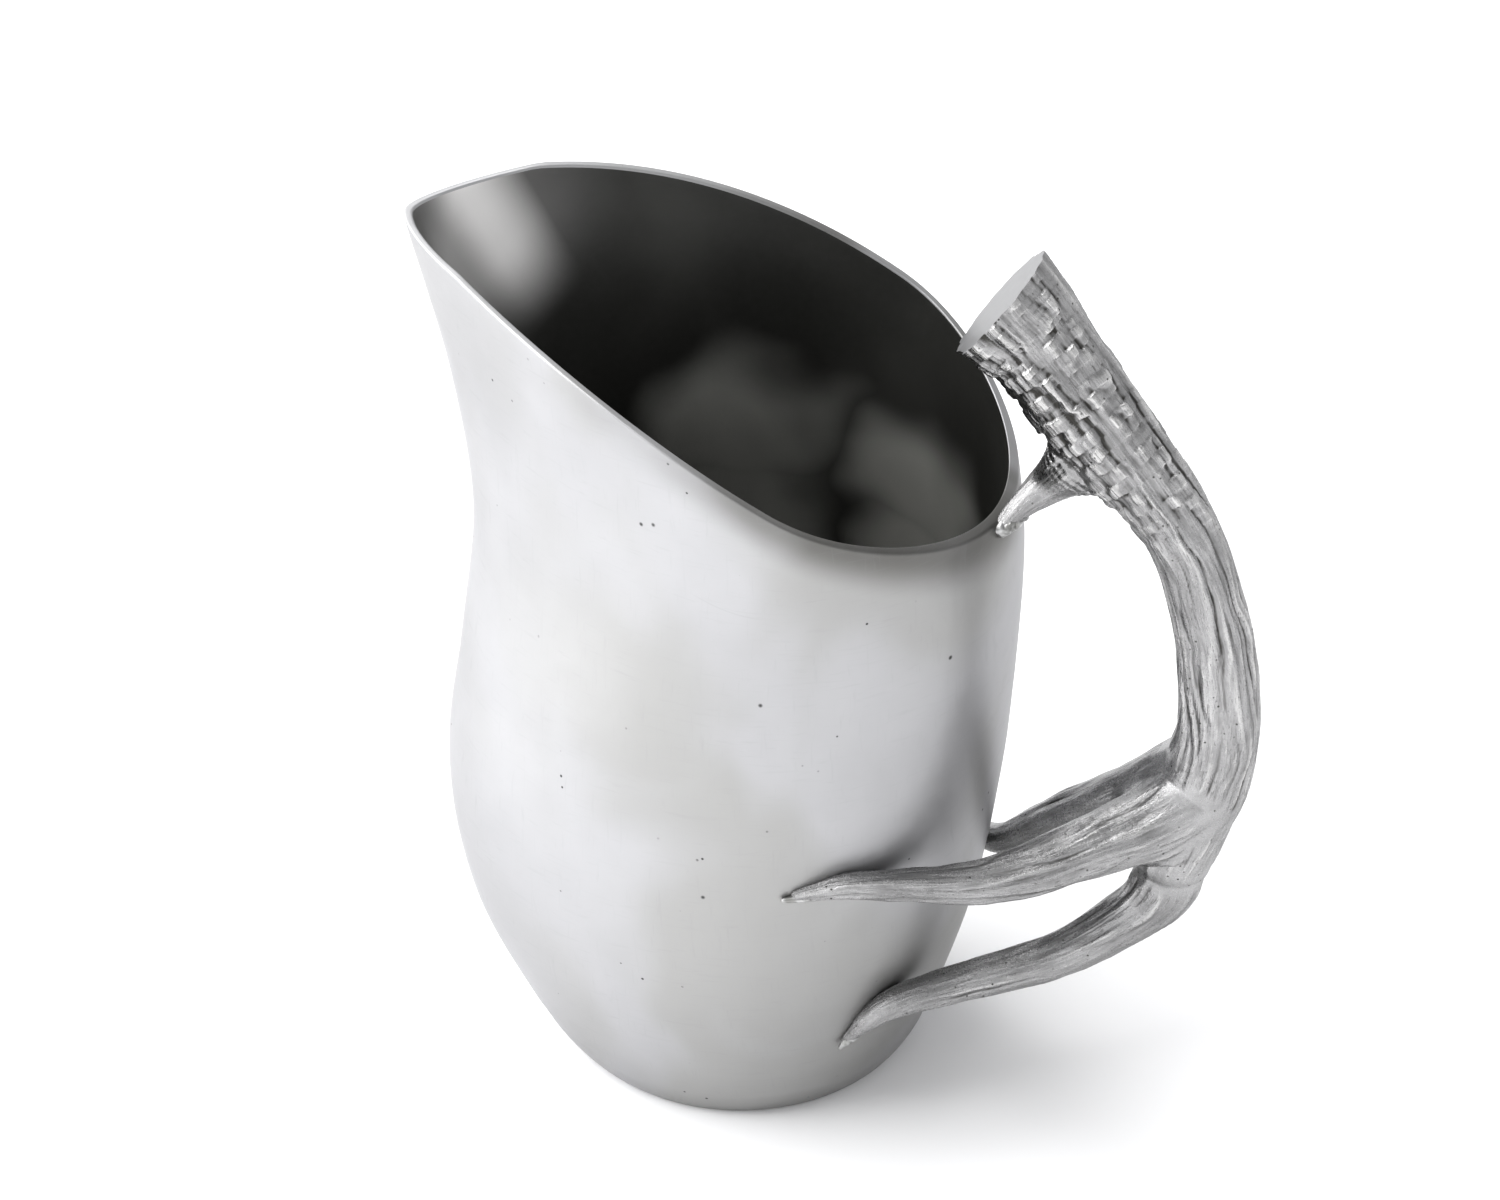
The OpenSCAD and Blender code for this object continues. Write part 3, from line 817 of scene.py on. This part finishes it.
def build_antler():
    """The whole antler as one casting, then cut into the beam and its four tines."""
    branches = {n: Branch(k, slim=SLIM) for n, k in KNOTS.items()}
    names = list(branches)
    p, quads = remeshed(branches.values(), VOXEL)
    p, found, d = settle(p, quads, branches)
    edges = edges_of(quads)
    n = normals_of(p, quads)
    weight = np.exp(-(d - d.min(0)) / 1.6)
    weight /= weight.sum(0)

    # relief of every branch, blended across the forks
    h = np.zeros(len(p))
    for k, name in enumerate(names):
        near = weight[k] > 0.004
        b, (_, _, s, phi) = branches[name], found[k]
        r = np.interp(s[near], b.run, b.r)
        h[near] += weight[k][near] * stem_relief(name, s[near], phi[near], r, b.r.mean())
    lumps = LUMPS(p[:, 0] / 9, p[:, 1] / 9, p[:, 2] / 9)
    h += 0.3 * lumps
    fork = 1 - weight.max(0)
    level = h.copy()
    for _ in range(30):
        level = 0.4 * level + 0.6 * averaged(level, edges)
    h += (level - h) * 0.8 * step(0.06, 0.45, fork)
    # the tips stay smooth so that they bed into the wall
    for k, name in enumerate(names[1:], 1):
        left = branches[name].run[-1] - found[k][2]
        h *= 1 - weight[k] * (1 - step(2.0, 12.0, left)) * 0.5
    h = np.where(h > 0, HIGHEST * np.tanh(h / HIGHEST), DEEPEST * np.tanh(h / DEEPEST))
    p = p + n * h[:, None]
    p = p + 0.25 * (averaged(p, edges) - p)

    whole = normals_of(p, quads)
    soft = h.copy()
    for _ in range(40):
        soft = 0.4 * soft + 0.6 * averaged(soft, edges)
    cavity = h - soft

    # growth coordinates for the fine streaks: two across the stem, one along it
    label = weight.argmax(0)
    flow = np.zeros_like(p)
    for k, name in enumerate(names):
        own = label == k
        b, (_, _, s, phi) = branches[name], found[k]
        reach = np.interp(s[own], b.run, b.r).mean() / 1.5
        flow[own] = np.column_stack([np.cos(phi[own]) * reach, np.sin(phi[own]) * reach,
                                     s[own] / 15 + 31 * k])

    # one label per face, tidied so that each branch is one patch
    face = np.sort(label[quads], axis=1)[:, 2]
    for _ in range(12):
        votes = np.zeros((len(p), len(names)))
        for c in range(4):
            np.add.at(votes, (quads[:, c], face), 1)
        face = votes[quads].sum(1).argmax(1)

    pieces = []
    for k, name in enumerate(names):
        own = quads[face == k]
        used, local = np.unique(own, return_inverse=True)
        local = local.reshape(-1, 4)
        verts, extra, rings = p[used], [], []
        caps, seams = [], set()
        for loop in open_loops(local):
            seams.update(frozenset(pair) for pair in zip(loop.tolist(), np.roll(loop, -1).tolist()))
            centre = verts[loop].mean(0)
            rim, inner = verts[loop], -n[used][loop]
            base = len(verts) + sum(map(len, extra))
            sunk = rim + inner * 0.5
            rows = [sunk, sunk * 0.62 + centre * 0.38, sunk * 0.25 + centre * 0.75]
            extra += rows + [centre[None]]
            m = len(loop)
            ids = [loop] + [np.arange(m) + base + i * m for i in range(3)]
            for lower, upper in zip(ids, ids[1:]):
                for i in range(m):
                    j = (i + 1) % m
                    caps.append([lower[i], lower[j], upper[j], upper[i]])
            for i in range(m):
                caps.append([ids[-1][i], ids[-1][(i + 1) % m], base + 3 * m])
        count = sum(map(len, extra))
        verts = np.vstack([verts] + extra)
        obj = new_object(name + "_cast", verts, local.tolist() + caps, (ANTLER, SAWN))
        pad = np.zeros(count)
        attribute(obj.data, "cavity", np.concatenate([cavity[used], pad - 0.5]))
        attribute(obj.data, "flow", np.vstack([flow[used], np.zeros((count, 3))]))
        attribute(obj.data, "fork", np.concatenate([step(0.04, 0.40, fork[used]), pad + 1]))
        fix_normals(obj)
        for e in obj.data.edges:
            if frozenset(e.vertices) in seams:
                e.use_edge_sharp = True
        # shading runs on unbroken across a seam between two branches
        shared = np.zeros((len(verts), 3))
        shared[:len(used)] = whole[used]
        rims = np.zeros(len(verts), dtype=bool)
        rims[list({v for pair in seams for v in pair})] = True
        corners = [tuple(shared[v]) if rims[v] and outer else (0.0, 0.0, 0.0)
                   for outer, v in corner_list(obj.data, len(local))]
        obj.data.normals_split_custom_set(corners)
        pieces.append((name, obj))
    return pieces


def corner_list(mesh, skin):
    """For each face corner: whether its face is one of the first ones, the skin, and its vertex."""
    for face in mesh.polygons:
        for v in face.vertices:
            yield face.index < skin, v


def open_loops(quads):
    """Boundary loops of a patch of quads, each as ordered vertex numbers."""
    directed = np.concatenate([quads[:, [c, (c + 1) % 4]] for c in range(4)])
    big = int(directed.max()) + 1
    key, back = directed[:, 0] * big + directed[:, 1], directed[:, 1] * big + directed[:, 0]
    free = directed[~np.isin(key, back)]
    follow = {}
    for a, b in free.tolist():
        follow.setdefault(a, []).append(b)
    loops = []
    while follow:
        start = min(follow)
        loop, at = [start], follow[start].pop()
        if not follow[start]:
            del follow[start]
        while at != start:
            loop.append(at)
            nxt = follow[at].pop()
            if not follow[at]:
                del follow[at]
            at = nxt
        loops.append(np.array(loop))
    return loops


def saw_burr(obj):
    """Cuts the beam off flat at the burr and fills the cut with rings of faces."""
    bm = bmesh.new()
    bm.from_mesh(obj.data)
    bmesh.ops.bisect_plane(bm, geom=bm.verts[:] + bm.edges[:] + bm.faces[:],
                           plane_co=Vector(BURR_AT * MM), plane_no=Vector(BURR_OUT), clear_outer=True)
    follow = {}
    for e in bm.edges:
        if e.is_boundary:
            for v in e.verts:
                follow.setdefault(v, []).append(e)
            e.smooth = False
    start = min(follow, key=lambda v: v.index)
    ring, edge, v = [start], follow[start][0], start
    while True:
        v = edge.other_vert(v)
        if v is start:
            break
        ring.append(v)
        edge = next(e for e in follow[v] if e is not edge)
    centre = sum((v.co for v in ring), Vector()) / len(ring)
    # each ring is drawn in from the one before it
    for share in (0.965, 0.93, 0.6 / 0.93, 0.3 / 0.93):
        inner = [bm.verts.new(centre + (v.co - centre) * share) for v in ring]
        for a, b, c, d in zip(ring, ring[1:] + ring[:1], inner[1:] + inner[:1], inner):
            f = bm.faces.new((a, b, c, d))
            f.material_index, f.smooth = 1, True
        ring = inner
    tip = bm.verts.new(centre)
    for a, b in zip(ring, ring[1:] + ring[:1]):
        f = bm.faces.new((a, b, tip))
        f.material_index, f.smooth = 1, True
    bmesh.ops.recalc_face_normals(bm, faces=bm.faces)
    bm.to_mesh(obj.data)
    bm.free()
    obj.data.update()


# ---------------------------------------------------------------- solder

# Runs of solder: points and radii along the joint, with how lumpy the run is
RUNS = {
    "rim_solder": ([[85, -6.4, 189.6, 1.6], [82.2, -8.8, 187.7, 2.2], [79.8, -11.2, 186.9, 2.1],
                    [78.2, -13.0, 187.0, 1.1]], 0.75),
    "near_solder": ([[52, -58.4, 94.8, 1.2], [45, -61.9, 94.8, 1.4], [38.5, -64.3, 93.9, 1.3],
                     [34.0, -66.0, 93.4, 0.7]], 0.2),
    "far_solder": ([[64, 32.6, 53.4, 1.5], [57.5, 39.8, 50.2, 1.7], [51.5, 45.9, 48.2, 1.6],
                    [46.8, 50.4, 47.2, 0.9]], 0.25),
    "lower_solder": ([[54, -41.8, 38.6, 1.3], [50.0, -43.9, 34.7, 1.5], [46.6, -45.2, 31.4, 1.4],
                      [44.4, -45.9, 28.9, 0.8]], 0.25),
}


def build_solder(name):
    knots, lumpy = RUNS[name]
    run = Branch(knots, steps=8)
    p, quads = remeshed([run], 0.34)
    n = normals_of(p, quads)
    h = lumpy * (LUMPS(p[:, 0] / 2.2, p[:, 1] / 2.2, p[:, 2] / 2.2) + 0.4 * LUMPS(p[:, 0], p[:, 1], p[:, 2]))
    p = p + n * h[:, None]
    p = p + 0.5 * (averaged(p, edges_of(quads)) - p)
    return new_object(name + "_bead", p, quads, (SOLDER,))


# ---------------------------------------------------------------- assembly

def settle_piece(piece, node):
    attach(piece, "root")
    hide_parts(node)


settle_piece(build_body(), "body_shell")
settle_piece(build_base(), "base_plate")
for node_name, cast in build_antler():
    if node_name == "antler_beam":
        saw_burr(cast)
    settle_piece(cast, node_name)
for node_name in RUNS:
    settle_piece(build_solder(node_name), node_name)


# ---------------------------------------------------------------- floor, light, camera

def stage_floor():
    mat = bpy.data.materials.new("floor")
    mat.use_nodes = True
    bsdf = mat.node_tree.nodes["Principled BSDF"]
    bsdf.inputs["Base Color"].default_value = (0.92, 0.92, 0.925, 1)
    bsdf.inputs["Roughness"].default_value = 0.9
    bsdf.inputs["Specular IOR Level"].default_value = 0.1
    reach, around = 4000, 96
    a = np.linspace(0, 2 * math.pi, around, endpoint=False)
    disc = np.column_stack([reach * np.cos(a), reach * np.sin(a), np.zeros(around)])
    floor = new_object("floor", disc, [list(range(around))], (mat,))


def soft_light(name, at, aim, size, power):
    light = bpy.data.lights.new(name, "AREA")
    light.shape = "RECTANGLE"
    light.size, light.size_y = size
    light.energy = power
    obj = bpy.data.objects.new(name, light)
    obj.location = at
    obj.rotation_euler = (Vector(aim) - Vector(at)).to_track_quat("-Z", "Y").to_euler()
    obj.visible_camera = False
    bpy.context.scene.collection.objects.link(obj)


def stage_light():
    """White room, darker overhead and to the right, with a big soft key high up and to the left."""
    world = bpy.data.worlds.new("studio")
    bpy.context.scene.world = world
    world.use_nodes = True
    tree = world.node_tree
    back = tree.nodes["Background"]
    place = tree.nodes.new("ShaderNodeTexCoord")
    split = tree.nodes.new("ShaderNodeSeparateXYZ")
    tree.links.new(place.outputs["Generated"], split.inputs[0])

    def ramp(value, lo, hi, a, b):
        n = tree.nodes.new("ShaderNodeMapRange")
        n.interpolation_type = "SMOOTHSTEP"
        tree.links.new(value, n.inputs["Value"])
        for key, v in zip(("From Min", "From Max", "To Min", "To Max"), (lo, hi, a, b)):
            n.inputs[key].default_value = v
        return n.outputs["Result"]

    both = tree.nodes.new("ShaderNodeMath")
    both.operation = "MULTIPLY"
    tree.links.new(ramp(split.outputs[2], 0.10, 0.95, 1.5, 0.57), both.inputs[0])
    tree.links.new(ramp(split.outputs[0], -0.9, 0.9, 1.15, 0.62), both.inputs[1])
    tree.links.new(both.outputs[0], back.inputs["Strength"])
    back.inputs["Color"].default_value = (0.985, 0.99, 1.0, 1)
    soft_light("key", (-0.75, 0.06, 1.32), (0.05, 0.0, 0), (2.2, 2.2), 52)
    soft_light("left", (-1.3, -0.7, 0.55), (0, 0, 0.12), (0.9, 0.9), 7.5)


def stage_camera():
    """Camera of the photograph, as solved from the outlines: azimuth, elevation and a slight roll."""
    azimuth, elevation, roll = (math.radians(a) for a in (17.0, 33.1, -1.0))
    aim, distance = Vector((-0.0138, 0.0644, 0.1007)), 1.25
    back = Vector((math.sin(azimuth) * math.cos(elevation), -math.cos(azimuth) * math.cos(elevation),
                   math.sin(elevation)))
    level = Vector((math.cos(azimuth), math.sin(azimuth), 0))
    upright = back.cross(level)
    right = level * math.cos(roll) + upright * math.sin(roll)
    up = upright * math.cos(roll) - level * math.sin(roll)
    data = bpy.data.cameras.new("camera")
    data.sensor_width = 36.0
    data.lens = 100.5
    data.clip_end = 20
    cam = bpy.data.objects.new("camera", data)
    rows = Matrix((right, up, back)).transposed().to_4x4()
    rows.translation = aim + back * distance
    cam.matrix_world = rows
    bpy.context.scene.collection.objects.link(cam)
    bpy.context.scene.camera = cam


stage_floor()
stage_light()
stage_camera()
bpy.context.scene.view_settings.view_transform = "Standard"
